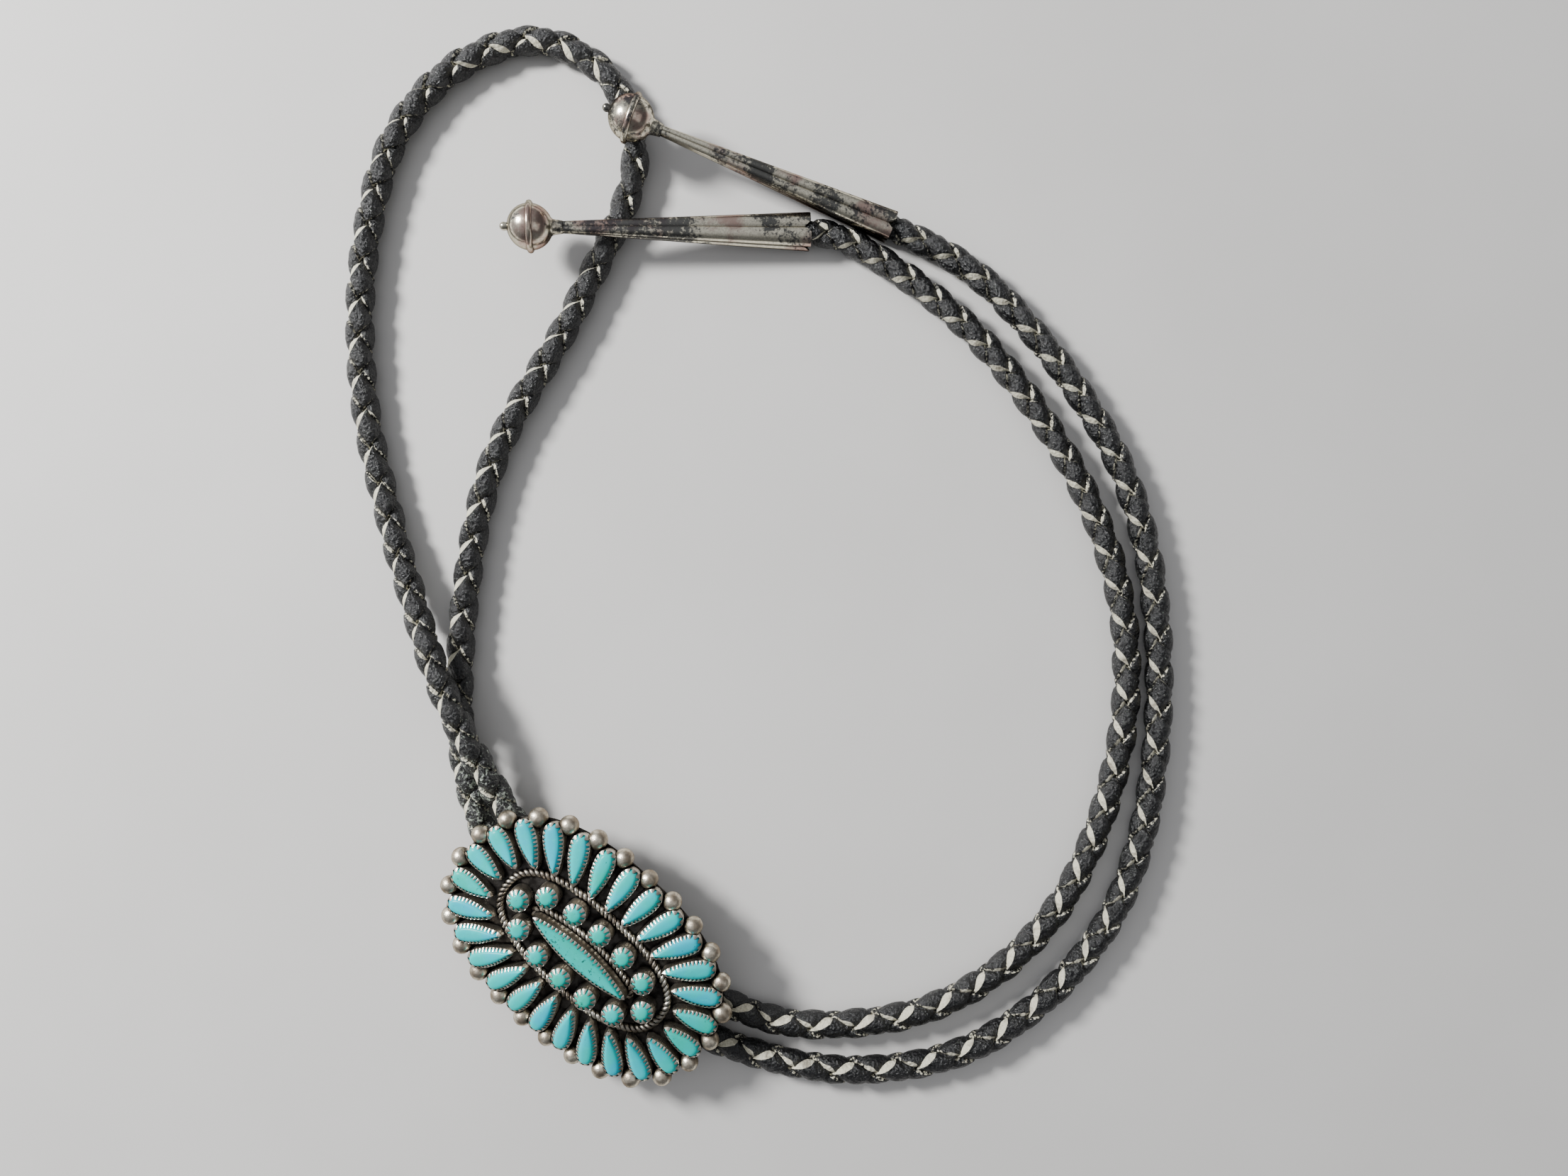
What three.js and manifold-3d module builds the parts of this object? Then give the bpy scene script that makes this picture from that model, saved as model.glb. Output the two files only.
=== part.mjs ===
// Bolo tie: an oval turquoise cluster slide and a pair of silver tips on one braided leather cord.
// Millimetres, +Z up. It lies face up on z = 0 with its neck loop toward +Y. The origin is under
// the middle of its hard pieces: the slide, the clasp behind it and the two tips.
import * as THREE from 'three';
import { mergeVertices } from 'three/addons/utils/BufferGeometryUtils.js';
import Module from 'manifold-3d';

const wasm = await Module();
wasm.setup();

// Driving dimensions
const gap = 0.3; // between a piece and its neighbour
const cord = { diameter: 5.4, steps: 80, arcSteps: 5 };

const slideCentre = new THREE.Vector3(-15.3, -64.8, 9.2);
const slideTurn = THREE.MathUtils.degToRad(-42); // the long axis runs down to the right
const slideTilt = THREE.MathUtils.degToRad(8); // the right-hand long edge is raised
const ovalFullness = 2.4; // 2 is an ellipse, and more is fuller at the corners
const ovalSteps = 180;

// Each oval is given by its half length and half width. Heights are above the rim balls' centres.
const plate = {
  halfLength: 28.2,
  halfWidth: 18,
  thickness: 0.9,
  edgeHeight: -0.75,
  domeRise: 2.4,
  segments: 28,
  rings: [0, 0.55, 1], // as shares of the way from the middle to the edge
};
const rimBalls = { count: 26, radius: 1.8, halfLength: 28.2, halfWidth: 18 };
const petals = {
  count: 26,
  outerHalfLength: 27.4,
  outerHalfWidth: 17.2,
  innerHalfLength: 20.2,
  innerHalfWidth: 9.3,
};
const rounds = { count: 12, halfLength: 15, halfWidth: 5.6 };
const innerWire = { halfLength: 18.4, halfWidth: 8.3, radius: 0.6, segments: 36 };
const centreWire = { radius: 0.5, offset: 1, segments: 24 };
const wireSink = 0.15; // how far the wires' centre lines are let into the plate

// A cup is the low wall round a stone. Heights are above the plate under it.
const cupRoot = 0.7; // how deep a cup's foot is let into the plate
const cupWall = 0.35;
const cupFloor = 0.3;
const pocketExtra = 1; // how far the cut for a stone runs on above its top
const petalCup = { width: 2.75, tipRadius: 0.45, wallTop: 2.2, stoneTop: 2.7, arcSteps: 3 };
const roundCup = { diameter: 3.4, wallTop: 3, stoneTop: 3.5, arcSteps: 5 };
const centreCup = { length: 21, width: 3.3, tipRadius: 0.45, wallTop: 3.2, stoneTop: 3.8, arcSteps: 3 };
const stoneEdge = { height: 0.5, inset: 0.35 };

const clasp = { length: 12, width: 15.4, channelSpacing: 6.9, channelHeight: 4, clearance: 0.6 };

// Distances along a tip are from its ball's centre, the cord side counting as plus.
const tip = {
  ballRadius: 4.2,
  bandRadius: 4.45,
  bandWidth: 0.8,
  beadRadius: 0.75,
  beadSink: 0.3, // how far the bead is let into the ball
  collarRadius: 1.3,
  collarLength: 0.2,
  shaftStart: 5.6,
  thinRadius: 1,
  mouth: 51.5,
  mouthRadius: 3.8,
  flutes: 4,
  lobeOffset: 0.45,
  flatness: 0.85,
};
const tips = [
  { name: 'cord_tip_upper', ball: [-6.8, 86.5, 10.1], mouth: [40.9, 68.7, 3.5], roll: 105 },
  { name: 'cord_tip_lower', ball: [-25.4, 67, 9.2], mouth: [25.8, 67.9, 3.1], roll: 0 },
];

// The cord's centre line, from the lower tip round to the upper one.
const cordRoute = [
  [26.8, 67.8, 3.1],
  [33.0, 66.2, 2.9],
  [57.0, 48.6, 2.8],
  [78.0, 18.0, 2.8],
  [85.2, -8.0, 2.8],
  [82.8, -35.0, 2.8],
  [71.0, -61.2, 2.8],
  [51.0, -77.0, 2.8],
  [24.0, -81.0, 2.8],
  [7.0, -75.5, 3.0],
  [-6.8, -67.4, 4.0],
  [-18.5, -56.7, 4.0],
  [-26.4, -47.4, 4.4],
  [-32.5, -36.8, 5.6],
  [-38.4, -24.6, 8.8],
  [-43.6, -12.8, 7.9],
  [-48.2, -0.8, 5.0],
  [-52.5, 12.0, 3.1],
  [-58.0, 37.0, 2.8],
  [-58.0, 63.5, 2.8],
  [-51.8, 86.5, 2.8],
  [-40.5, 99.0, 2.8],
  [-25.0, 103.9, 2.8],
  [-11.8, 96.8, 2.8],
  [-7.0, 81.5, 2.8],
  [-17.5, 55.0, 2.8],
  [-33.5, 25.2, 2.8],
  [-39.2, -3.0, 2.8],
  [-39.4, -30.0, 2.8],
  [-34.0, -47.6, 2.9],
  [-23.4, -61.7, 4.0],
  [-11.7, -72.2, 4.0],
  [9.0, -84.2, 2.8],
  [34.0, -89.6, 2.8],
  [59.5, -83.8, 2.8],
  [82.5, -60.8, 2.8],
  [91.4, -23.0, 2.8],
  [85.5, 21.0, 2.8],
  [59.5, 58.0, 2.8],
  [41.9, 68.3, 3.4],
];

// Materials
const silver = new THREE.MeshStandardMaterial({ color: '#aaa597', roughness: 0.38, metalness: 1 });
const darkSilver = silver.clone();
darkSilver.color.set('#8b867b');
const leather = new THREE.MeshStandardMaterial({ color: '#191a1b', roughness: 0.5, metalness: 0 });
const turquoiseTints = ['#22b9c2', '#2fc0b4', '#27b3c9', '#3ac2ad'].map(
  (color) => new THREE.MeshStandardMaterial({ color, roughness: 0.35, metalness: 0 }),
);

// An oval outline, walked from its +X end toward +Y.
function oval(halfLength, halfWidth) {
  const points = [];
  for (let step = 0; step < ovalSteps; step++) {
    const angle = (step / ovalSteps) * 2 * Math.PI;
    const cosine = Math.cos(angle);
    const sine = Math.sin(angle);
    const x = halfLength * Math.sign(cosine) * Math.abs(cosine) ** (2 / ovalFullness);
    const y = halfWidth * Math.sign(sine) * Math.abs(sine) ** (2 / ovalFullness);
    points.push(new THREE.Vector2(x, y));
  }
  const outline = new THREE.Path(points);
  outline.closePath();
  return outline;
}

// The height of the plate's domed top, from 0 in the middle to 1 at the edge and at a point.
function domeProfile(reach) {
  return plate.edgeHeight + plate.domeRise * (1 - reach ** 2);
}

function domeHeight(x, y) {
  const along = Math.abs(x / plate.halfLength) ** ovalFullness;
  const across = Math.abs(y / plate.halfWidth) ** ovalFullness;
  return domeProfile((along + across) ** (1 / ovalFullness));
}

// A teardrop: a wide round end, and straight sides to a narrow two-faced end at x = 0.
function teardrop(length, width, tipRadius, grow) {
  const wideRadius = width / 2;
  const centres = length - wideRadius - tipRadius;
  const turn = Math.acos((tipRadius - wideRadius) / centres);
  const shape = new THREE.Shape();
  shape.absarc(length - wideRadius, 0, wideRadius + grow, -turn, turn);
  for (const angle of [turn, Math.PI, -turn]) {
    const reach = tipRadius + grow;
    shape.lineTo(tipRadius + reach * Math.cos(angle), reach * Math.sin(angle));
  }
  return shape;
}

// A slim pointed oval of two long arcs, with its ends rounded off.
function marquise(length, width, tipRadius, grow) {
  const reach = length / 2 - tipRadius;
  const half = width / 2;
  const sideRadius = (reach ** 2 + half ** 2 - tipRadius ** 2) / (2 * (half - tipRadius));
  const lean = Math.asin(reach / (sideRadius - tipRadius));
  const shape = new THREE.Shape();
  shape.absarc(0, half - sideRadius, sideRadius + grow, Math.PI / 2 - lean, Math.PI / 2 + lean);
  shape.absarc(-reach, 0, tipRadius + grow, Math.PI / 2 + lean, 1.5 * Math.PI - lean);
  shape.absarc(0, sideRadius - half, sideRadius + grow, 1.5 * Math.PI - lean, 1.5 * Math.PI + lean);
  shape.absarc(reach, 0, tipRadius + grow, lean - Math.PI / 2, Math.PI / 2 - lean);
  return shape;
}

function circle(radius) {
  return new THREE.Shape().absarc(0, 0, radius, 0, 2 * Math.PI);
}

function prism(shape, bottom, top, arcSteps) {
  const options = { depth: top - bottom, bevelEnabled: false, curveSegments: arcSteps };
  return new THREE.ExtrudeGeometry(shape, options).translate(0, 0, bottom);
}

// A flat-backed stone whose edge is chamfered all round.
function stone(shape, bottom, top, arcSteps) {
  const geometry = new THREE.ExtrudeGeometry(shape, {
    depth: top - bottom - 2 * stoneEdge.height,
    curveSegments: arcSteps,
    bevelSegments: 1,
    bevelThickness: stoneEdge.height,
    bevelSize: stoneEdge.inset,
    bevelOffset: -stoneEdge.inset,
  });
  return geometry.translate(0, 0, bottom + stoneEdge.height);
}

// A round wire bent along a closed outline, offset outward from it, and let into the domed plate.
function wireRing(outline, wire, offset) {
  const geometry = new THREE.TorusGeometry(1, wire.radius, 6, wire.segments);
  const position = geometry.attributes.position;
  for (let index = 0; index < position.count; index++) {
    const x = position.getX(index);
    const y = position.getY(index);
    const turn = (Math.atan2(y, x) / (2 * Math.PI) + 1) % 1;
    const point = outline.getPoint(turn);
    const direction = outline.getPoint((turn + 0.001) % 1).sub(outline.getPoint((turn + 0.999) % 1));
    const outward = new THREE.Vector2(direction.y, -direction.x).normalize();
    point.addScaledVector(outward, offset + Math.hypot(x, y) - 1);
    const height = domeHeight(point.x, point.y) - wireSink + position.getZ(index);
    position.setXYZ(index, point.x, point.y, height);
  }
  return geometry;
}

// The domed oval plate: a turned disc, spread from a circle to the oval.
function domedPlate() {
  const top = plate.rings.map((reach) => new THREE.Vector2(reach, domeProfile(reach)));
  const under = top.map((point) => new THREE.Vector2(point.x, point.y - plate.thickness));
  const profile = [...under, ...top.reverse()];
  const geometry = new THREE.LatheGeometry(profile, plate.segments).rotateX(Math.PI / 2);
  const outline = oval(plate.halfLength, plate.halfWidth);
  const position = geometry.attributes.position;
  for (let index = 0; index < position.count; index++) {
    const x = position.getX(index);
    const y = position.getY(index);
    const edge = outline.getPoint((Math.atan2(y, x) / (2 * Math.PI) + 1) % 1);
    edge.multiplyScalar(Math.hypot(x, y));
    position.setXYZ(index, edge.x, edge.y, position.getZ(index));
  }
  return geometry;
}

// Where each stone is seated on the plate: its frame, its outline and its heights.
function petalSeats() {
  const outer = oval(petals.outerHalfLength, petals.outerHalfWidth);
  const inner = oval(petals.innerHalfLength, petals.innerHalfWidth);
  const seats = [];
  for (let index = 0; index < petals.count; index++) {
    const from = inner.getPoint(index / petals.count);
    const to = outer.getPoint(index / petals.count);
    const start = new THREE.Vector3(from.x, from.y, domeHeight(from.x, from.y));
    const end = new THREE.Vector3(to.x, to.y, domeHeight(to.x, to.y));
    const along = end.clone().sub(start).normalize();
    const sideways = new THREE.Vector3(-along.y, along.x, 0).normalize();
    const up = along.clone().cross(sideways);
    const place = new THREE.Matrix4().makeBasis(along, sideways, up).setPosition(start);
    const length = start.distanceTo(end);
    const outline = (grow) => teardrop(length, petalCup.width, petalCup.tipRadius, grow);
    seats.push({ kind: 'petal_stone', place, outline, ...petalCup });
  }
  return seats;
}

function roundSeats() {
  const ring = oval(rounds.halfLength, rounds.halfWidth);
  const seats = [];
  for (let index = 0; index < rounds.count; index++) {
    const { x, y } = ring.getPoint(index / rounds.count);
    const place = new THREE.Matrix4().makeTranslation(x, y, domeHeight(x, y));
    const outline = (grow) => circle(roundCup.diameter / 2 + grow);
    seats.push({ kind: 'round_stone', place, outline, ...roundCup });
  }
  return seats;
}

function centreSeat() {
  const place = new THREE.Matrix4().makeTranslation(0, 0, domeHeight(0, 0));
  const outline = (grow) => marquise(centreCup.length, centreCup.width, centreCup.tipRadius, grow);
  return { kind: 'centre_stone', place, outline, ...centreCup };
}

function toSolid(geometry) {
  const bare = geometry.clone();
  bare.deleteAttribute('normal');
  bare.deleteAttribute('uv');
  const merged = mergeVertices(bare, 1e-5);
  const vertProperties = new Float32Array(merged.attributes.position.array);
  const triVerts = new Uint32Array(merged.index.array);
  return new wasm.Manifold(new wasm.Mesh({ numProp: 3, vertProperties, triVerts }));
}

function toGeometry(solid) {
  const mesh = solid.getMesh();
  const geometry = new THREE.BufferGeometry();
  geometry.setAttribute('position', new THREE.BufferAttribute(mesh.vertProperties, 3));
  geometry.setIndex(new THREE.BufferAttribute(mesh.triVerts, 1));
  geometry.computeVertexNormals();
  return geometry;
}

// The soldered silver: the plate, the cups, the rim balls and the two wires, with open pockets.
function settingGeometry(seats) {
  let solid = toSolid(domedPlate());
  for (const seat of seats) {
    const cup = prism(seat.outline(gap + cupWall), -cupRoot, seat.wallTop, seat.arcSteps);
    solid = solid.add(toSolid(cup.applyMatrix4(seat.place)));
  }
  const rim = oval(rimBalls.halfLength, rimBalls.halfWidth);
  for (let index = 0; index < rimBalls.count; index++) {
    const { x, y } = rim.getPoint((index + 0.5) / rimBalls.count);
    const ball = new THREE.SphereGeometry(rimBalls.radius, 8, 4).rotateX(Math.PI / 2);
    solid = solid.add(toSolid(ball.translate(x, y, 0)));
  }
  const ring = wireRing(oval(innerWire.halfLength, innerWire.halfWidth), innerWire, 0);
  solid = solid.add(toSolid(ring));
  const centreOutline = new THREE.Path(centreSeat().outline(0).getPoints(24)).closePath();
  const centreRing = wireRing(centreOutline, centreWire, centreWire.offset);
  solid = solid.add(toSolid(centreRing));
  for (const seat of seats) {
    const pocket = prism(seat.outline(gap), cupFloor, seat.stoneTop + pocketExtra, seat.arcSteps);
    solid = solid.subtract(toSolid(pocket.applyMatrix4(seat.place)));
  }
  return toGeometry(solid);
}

// The clasp behind the slide: one plain block with a flat foot and two round channels.
function claspGeometry() {
  const side = clasp.width / 2;
  const fall = side * Math.tan(slideTilt);
  const edge = domeHeight(clasp.length / 2, side) - plate.thickness;
  const top = slideCentre.z + edge - 2 * gap;
  const shape = new THREE.Shape();
  shape.moveTo(-side, 0);
  shape.lineTo(side, 0);
  shape.lineTo(side, top + fall);
  shape.lineTo(-side, top - fall);
  shape.closePath();
  for (const across of [-clasp.channelSpacing / 2, clasp.channelSpacing / 2]) {
    const channel = new THREE.Path();
    channel.absarc(across, clasp.channelHeight, cord.diameter / 2 + clasp.clearance, 0, 2 * Math.PI);
    shape.holes.push(channel);
  }
  const options = { depth: clasp.length, bevelEnabled: false, curveSegments: 8 };
  const geometry = new THREE.ExtrudeGeometry(shape, options).translate(0, 0, -clasp.length / 2);
  return geometry.rotateX(Math.PI / 2).rotateZ(Math.PI / 2);
}

// One tip: bead, banded ball, collar and fluted taper, turned about Y and then fluted.
function tipGeometry() {
  const beadCentre = tip.beadSink - tip.beadRadius - tip.ballRadius;
  const profile = [new THREE.Vector2(0, beadCentre - tip.beadRadius)];
  const arc = (radius, centre, from, to, steps) => {
    for (let step = 0; step <= steps; step++) {
      const angle = THREE.MathUtils.degToRad(from + ((to - from) * step) / steps);
      profile.push(new THREE.Vector2(radius * Math.cos(angle), centre + radius * Math.sin(angle)));
    }
  };
  const degrees = (half, radius) => THREE.MathUtils.radToDeg(Math.asin(half / radius));
  const band = degrees(tip.bandWidth / 2, tip.ballRadius);
  const atBead = 90 - degrees(tip.beadRadius, tip.ballRadius);
  const atCollar = 90 - degrees(tip.collarRadius, tip.ballRadius);
  arc(tip.beadRadius, beadCentre, -50, 20, 2);
  arc(tip.ballRadius, 0, -atBead, -band, 4);
  arc(tip.bandRadius, 0, -band * 0.6, band * 0.6, 1);
  arc(tip.ballRadius, 0, band, atCollar, 4);
  profile.push(new THREE.Vector2(tip.collarRadius, tip.ballRadius + tip.collarLength));
  profile.push(new THREE.Vector2(tip.thinRadius, tip.shaftStart));
  for (const share of [0.5, 1]) {
    const radius = THREE.MathUtils.lerp(tip.thinRadius, tip.mouthRadius, share);
    profile.push(new THREE.Vector2(radius, THREE.MathUtils.lerp(tip.shaftStart, tip.mouth, share)));
  }
  profile.push(new THREE.Vector2(0, tip.mouth));
  const geometry = new THREE.LatheGeometry(profile, 24);
  const lobeRadius = 1 - tip.lobeOffset;
  const period = (2 * Math.PI) / tip.flutes;
  const position = geometry.attributes.position;
  for (let index = 0; index < position.count; index++) {
    const y = position.getY(index);
    if (y < tip.shaftStart) continue;
    const x = position.getX(index);
    const z = position.getZ(index);
    const angle = Math.atan2(z, x) + 2 * Math.PI;
    const fromLobe = (angle % period) - period / 2;
    const side = tip.lobeOffset * Math.sin(fromLobe);
    const reach = tip.lobeOffset * Math.cos(fromLobe) + Math.sqrt(lobeRadius ** 2 - side ** 2);
    position.setXYZ(index, x * reach, y, z * reach * tip.flatness);
  }
  return geometry;
}

// The cord: one round tube along its route.
function cordGeometry() {
  const points = cordRoute.map((point) => new THREE.Vector3(...point));
  const route = new THREE.CatmullRomCurve3(points);
  return new THREE.ExtrudeGeometry(circle(cord.diameter / 2), {
    steps: cord.steps,
    curveSegments: cord.arcSteps,
    extrudePath: route,
  });
}

function addPiece(parent, name, geometry, material) {
  const mesh = new THREE.Mesh(geometry, material);
  mesh.name = name;
  parent.add(mesh);
  return mesh;
}

const boloTie = new THREE.Group();

const slide = new THREE.Group();
slide.position.copy(slideCentre);
slide.rotation.set(slideTilt, 0, slideTurn, 'ZXY');
boloTie.add(slide);

const seats = [...petalSeats(), ...roundSeats(), centreSeat()];
addPiece(slide, 'slide_setting', settingGeometry(seats), silver);

const numbers = {};
seats.forEach((seat, index) => {
  numbers[seat.kind] = (numbers[seat.kind] ?? 0) + 1;
  const number = String(numbers[seat.kind]).padStart(2, '0');
  const name = seat.kind === 'centre_stone' ? seat.kind : `${seat.kind}_${number}`;
  const shape = seat.outline(0);
  const geometry = stone(shape, cupFloor + gap, seat.stoneTop, seat.arcSteps).applyMatrix4(seat.place);
  addPiece(slide, name, geometry, turquoiseTints[(index * 3) % turquoiseTints.length]);
});

const claspMesh = addPiece(boloTie, 'cord_clasp', claspGeometry(), darkSilver);
claspMesh.position.set(slideCentre.x, slideCentre.y, 0);
claspMesh.rotation.z = slideTurn;

addPiece(boloTie, 'braided_cord', cordGeometry(), leather);

for (const { name, ball, mouth, roll } of tips) {
  const mesh = addPiece(boloTie, name, tipGeometry(), silver);
  mesh.position.set(...ball);
  const direction = new THREE.Vector3(...mouth).sub(mesh.position).normalize();
  mesh.quaternion.setFromUnitVectors(new THREE.Vector3(0, 1, 0), direction);
  mesh.rotateY(THREE.MathUtils.degToRad(roll));
}

export default boloTie;
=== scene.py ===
# A bolo tie lying face up on a plain table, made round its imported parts: an oval turquoise cluster
# slide on a cord of four braided black leather laces, whose ends go into a pair of silver tips.
import math
import random

import bmesh
import bpy
from mathutils import Matrix, Vector


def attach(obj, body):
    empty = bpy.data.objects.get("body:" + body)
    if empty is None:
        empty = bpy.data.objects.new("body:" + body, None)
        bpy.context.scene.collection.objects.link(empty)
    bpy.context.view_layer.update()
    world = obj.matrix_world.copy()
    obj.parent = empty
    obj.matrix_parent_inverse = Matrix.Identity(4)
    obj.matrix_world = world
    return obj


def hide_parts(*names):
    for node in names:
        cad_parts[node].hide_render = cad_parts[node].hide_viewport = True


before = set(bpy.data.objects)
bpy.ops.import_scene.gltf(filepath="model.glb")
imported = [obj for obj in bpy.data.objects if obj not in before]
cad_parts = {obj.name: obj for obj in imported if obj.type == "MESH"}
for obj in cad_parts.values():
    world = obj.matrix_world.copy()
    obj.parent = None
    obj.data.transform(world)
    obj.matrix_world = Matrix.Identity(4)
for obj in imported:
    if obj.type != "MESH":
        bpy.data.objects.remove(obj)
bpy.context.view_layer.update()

MM = 0.001

# ---------------------------------------------------------------- Camera
# It looks straight down on the tie from a bit over a hand's length, through a wide lens. It stands
# a little to the right of the tie's middle.
camera = bpy.data.objects.new("camera", bpy.data.cameras.new("camera"))
bpy.context.scene.collection.objects.link(camera)
bpy.context.scene.camera = camera
camera.location = (0.021, 0.001, 0.224)
camera.data.lens = 27
camera.data.sensor_width = 36
camera.data.clip_start = 0.01

# ---------------------------------------------------------------- Braided cord
# One cord, braided round from four flat laces of black calf leather, two winding each way. Every
# lace goes over one and under one, and its cut sides show the pale raw hide. It runs from the
# lower tip round the loops, twice through the clasp behind the slide, and into the upper tip.
CORD_ROUTE = [
    (0.0268, 0.0678, 0.0031),
    (0.0330, 0.0662, 0.0029),
    (0.0570, 0.0486, 0.0028),
    (0.0780, 0.0180, 0.0028),
    (0.0852, -0.0080, 0.0028),
    (0.0828, -0.0350, 0.0028),
    (0.0710, -0.0612, 0.0028),
    (0.0510, -0.0770, 0.0028),
    (0.0240, -0.0810, 0.0028),
    (0.0070, -0.0755, 0.0030),
    (-0.0068, -0.0674, 0.0040),
    (-0.0185, -0.0567, 0.0040),
    (-0.0264, -0.0474, 0.0044),
    (-0.0325, -0.0368, 0.0056),
    (-0.0384, -0.0246, 0.0088),
    (-0.0436, -0.0128, 0.0079),
    (-0.0482, -0.0008, 0.0050),
    (-0.0525, 0.0120, 0.0031),
    (-0.0580, 0.0370, 0.0028),
    (-0.0580, 0.0635, 0.0028),
    (-0.0518, 0.0865, 0.0028),
    (-0.0405, 0.0990, 0.0028),
    (-0.0250, 0.1039, 0.0028),
    (-0.0118, 0.0968, 0.0028),
    (-0.0070, 0.0815, 0.0028),
    (-0.0175, 0.0550, 0.0028),
    (-0.0335, 0.0252, 0.0028),
    (-0.0392, -0.0030, 0.0028),
    (-0.0394, -0.0300, 0.0028),
    (-0.0340, -0.0476, 0.0029),
    (-0.0234, -0.0617, 0.0040),
    (-0.0117, -0.0722, 0.0040),
    (0.0090, -0.0842, 0.0028),
    (0.0340, -0.0896, 0.0028),
    (0.0595, -0.0838, 0.0028),
    (0.0825, -0.0608, 0.0028),
    (0.0914, -0.0230, 0.0028),
    (0.0855, 0.0210, 0.0028),
    (0.0595, 0.0580, 0.0028),
    (0.0419, 0.0683, 0.0034),
]
# The ends go on a little way into the mouths of the tips, squeezed by the silver round them.
TUCKED_IN_LOWER_TIP = (0.0228, 0.0679, 0.0035)
TUCKED_IN_UPPER_TIP = (0.0381, 0.0697, 0.0039)
END_SQUEEZE = 0.72
END_TAPER = 7 * MM

BRAID_TURN = 14.0 * MM  # along the cord, for a lace to go once round it, where it is even
TIGHTER_TURN = 0.13  # how much shorter a turn is at the lower tip, as a share
TIGHTER_WITHIN = 0.07  # metres from that tip
LONGER_TURN = 0.14  # how much longer a turn is before the slide
LONGER_AT = 0.205  # metres from the nearer end
LONGER_WITHIN = 0.03
TURNS_OVER_AT = 0.235  # metres from the nearer end, where the cord goes under the slide
TURNS_OVER_WITHIN = 0.04
BRAID_SWAY = 0.22  # radians that the whole braid rolls to and fro
BRAID_SWAY_LENGTH = 0.047
SAMPLES_A_TURN = 24
LACE_MIDDLE_RADIUS = 1.44 * MM  # halfway between a lace's over and under stretches
LACE_RISE = 0.66 * MM  # how far a lace swings out and in from there
LACE_HALF_WIDTH = 1.32  # in radians round the cord
BRAID_WOBBLE = 0.24  # radians that the lattice leans to and fro, so that over stretches run straighter
# The cut edges are bevelled by hand, and more on the left of the cord, where they stand proud: on
# the lower left of it in the upper right part of the tie, and on the upper left of it elsewhere.
# Cut edges facing the other way, and those under the cord, keep only half their raw-hide cream, a painted
# shade.
BEVELLED_SIDE = Vector((-0.97, 0.24, 0.0))
BEVELLED_SIDE_ON_THE_RIGHT = Vector((-0.62, -0.78, 0.0))
LEAST_BEVEL = 0.05  # of the half width
MOST_BEVEL = 0.52
BEVEL_LIFT = 0.13  # in millimetres


def smooth_route(points, steps=24):
    """A centripetal Catmull-Rom curve through the points."""
    points = [Vector(point) for point in points]
    ends = [2 * points[0] - points[1]], [2 * points[-1] - points[-2]]
    around = ends[0] + points + ends[1]
    line = []
    for before, start, end, after in zip(around, around[1:], around[2:], around[3:]):
        first = math.sqrt((start - before).length)
        middle = math.sqrt((end - start).length)
        last = math.sqrt((after - end).length)
        leave = ((start - before) / first - (end - before) / (first + middle)) * middle + (end - start)
        arrive = ((after - end) / last - (after - start) / (middle + last)) * middle + (end - start)
        for step in range(steps):
            t = step / steps
            square = 3 * t ** 2 - 2 * t ** 3
            line.append(
                start.lerp(end, square) + leave * (t - 2 * t ** 2 + t ** 3) + arrive * (t ** 3 - t ** 2)
            )
    return line + [points[-1]]


def even_points(line, spacing):
    """The line again, with its points about that far apart."""
    lengths = [(b - a).length for a, b in zip(line, line[1:])]
    count = round(sum(lengths) / spacing)
    spacing = sum(lengths) / count
    even, index, done = [line[0]], 0, 0.0
    for number in range(1, count):
        while done + lengths[index] < number * spacing:
            done += lengths[index]
            index += 1
        even.append(line[index].lerp(line[index + 1], (number * spacing - done) / lengths[index]))
    return even + [line[-1]]


cord_line = even_points(
    smooth_route([TUCKED_IN_LOWER_TIP] + CORD_ROUTE + [TUCKED_IN_UPPER_TIP]),
    BRAID_TURN / SAMPLES_A_TURN,
)
cord_length = sum((b - a).length for a, b in zip(cord_line, cord_line[1:]))


def upright_frames(line):
    """At each point: the way along, the upright and the way across."""
    frames = []
    for index, point in enumerate(line):
        ahead = (line[min(index + 1, len(line) - 1)] - line[max(index - 1, 0)]).normalized()
        upright = (Vector((0, 0, 1)) - ahead * ahead.z).normalized()
        frames.append((point, ahead, upright, ahead.cross(upright)))
    return frames


def wave(angle):
    """1 where a lace is out and -1 where it is in, with flat tops and quick crossings."""
    return math.sin(math.pi / 2 * math.cos(angle))


def braid_turn(from_start, from_end):
    """How long a turn of the braid is there: tight at the lower tip, and drawn out before the slide."""
    near_end = min(from_start, from_end)
    tight = TIGHTER_TURN * math.exp(-(from_start / TIGHTER_WITHIN) ** 2)
    drawn_out = LONGER_TURN * math.exp(-((near_end - LONGER_AT) / LONGER_WITHIN) ** 2)
    return BRAID_TURN * (1 - tight + drawn_out)


def braid_roll(from_start, from_end):
    """How far the braid is rolled round its middle: it turns a quarter over under the slide."""
    past_slide = (min(from_start, from_end) - TURNS_OVER_AT) / TURNS_OVER_WITHIN
    past_slide = max(0.0, min(1.0, past_slide))
    turned_over = past_slide * past_slide * (3 - 2 * past_slide)
    return math.pi / 2 * (1 - turned_over) + BRAID_SWAY * math.sin(from_start / BRAID_SWAY_LENGTH)


def bevelled_side(spot):
    """The way that bevelled edges face there, which turns from the tie's lower left to its upper right."""
    share = (spot.x + 0.6 * spot.y - 0.01) / 0.045
    return BEVELLED_SIDE.lerp(BEVELLED_SIDE_ON_THE_RIGHT, max(0.0, min(1.0, share)))


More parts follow.
